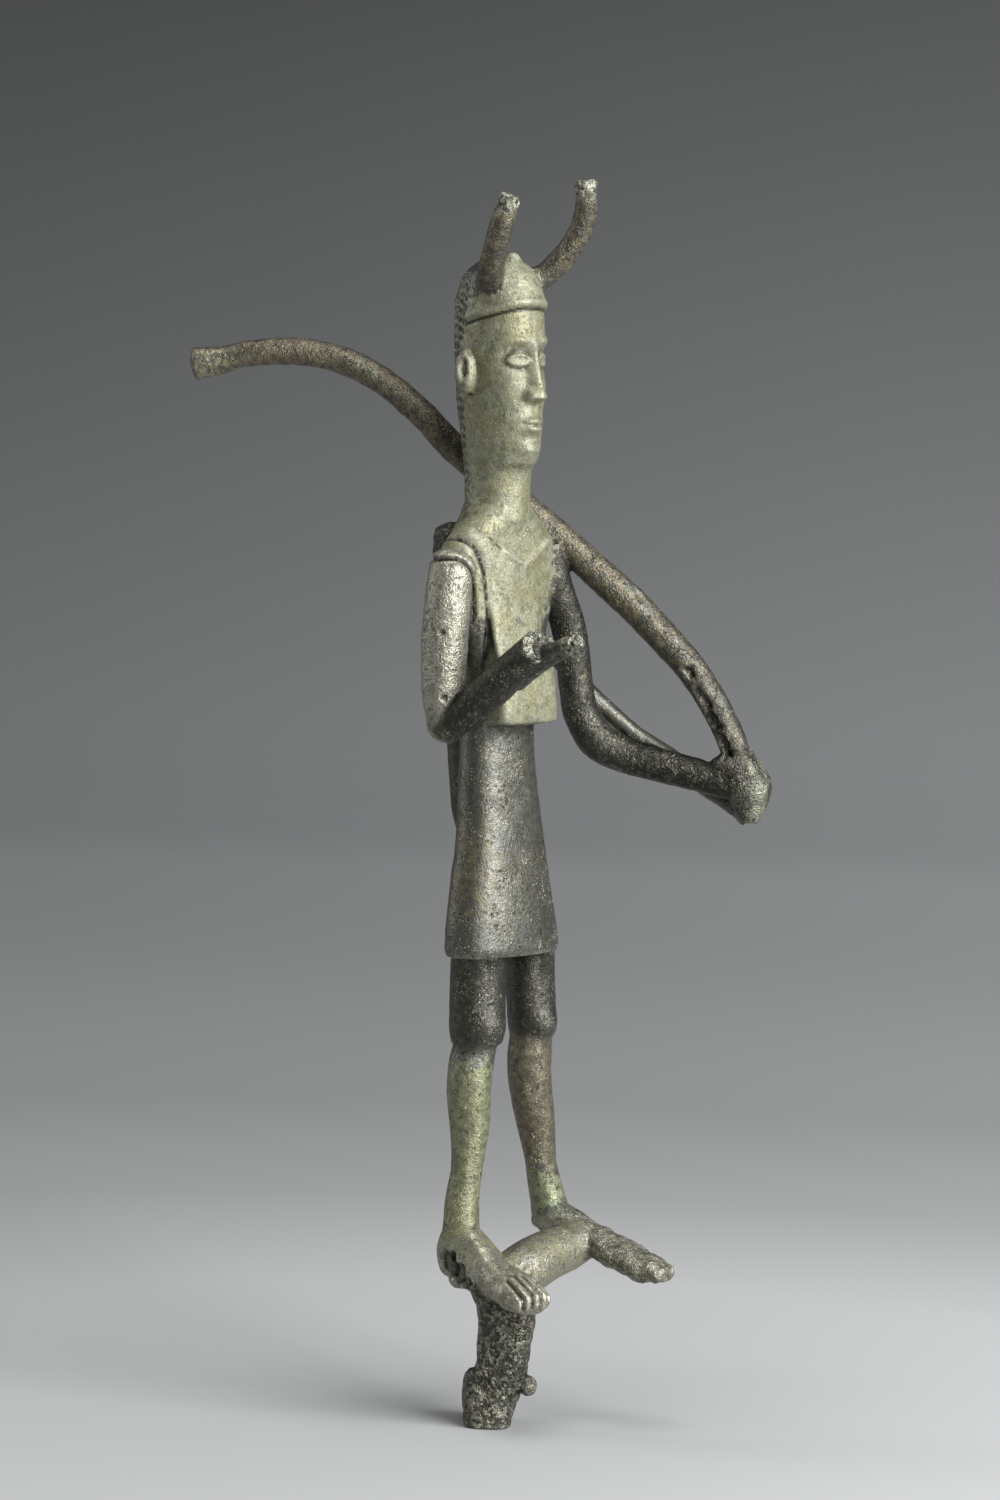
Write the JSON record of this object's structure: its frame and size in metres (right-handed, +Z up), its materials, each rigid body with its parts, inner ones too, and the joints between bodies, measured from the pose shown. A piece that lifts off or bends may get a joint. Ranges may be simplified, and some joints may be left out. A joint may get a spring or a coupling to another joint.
{
  "type": "votive statuette",
  "caption": "Slender cast bronze votive figure of an archer in a horned cap, bow over the shoulder and quiver on the back, standing on its rough casting stem.",
  "frame": {"origin": "middle of the flat underside of the casting stem, on the surface the figure stands on", "axes": "+Z up, -Y the way the figure faces, +X towards the figure's left hand"},
  "size_m": [0.0854, 0.0896, 0.2489],
  "materials": {
    "bronze": "old cast bronze, worn dark grey-brown with olive-green patina, pitted, half shiny"
  },
  "bodies": {
    "root": {"statuette": "bronze"}
  },
  "joints": []
}
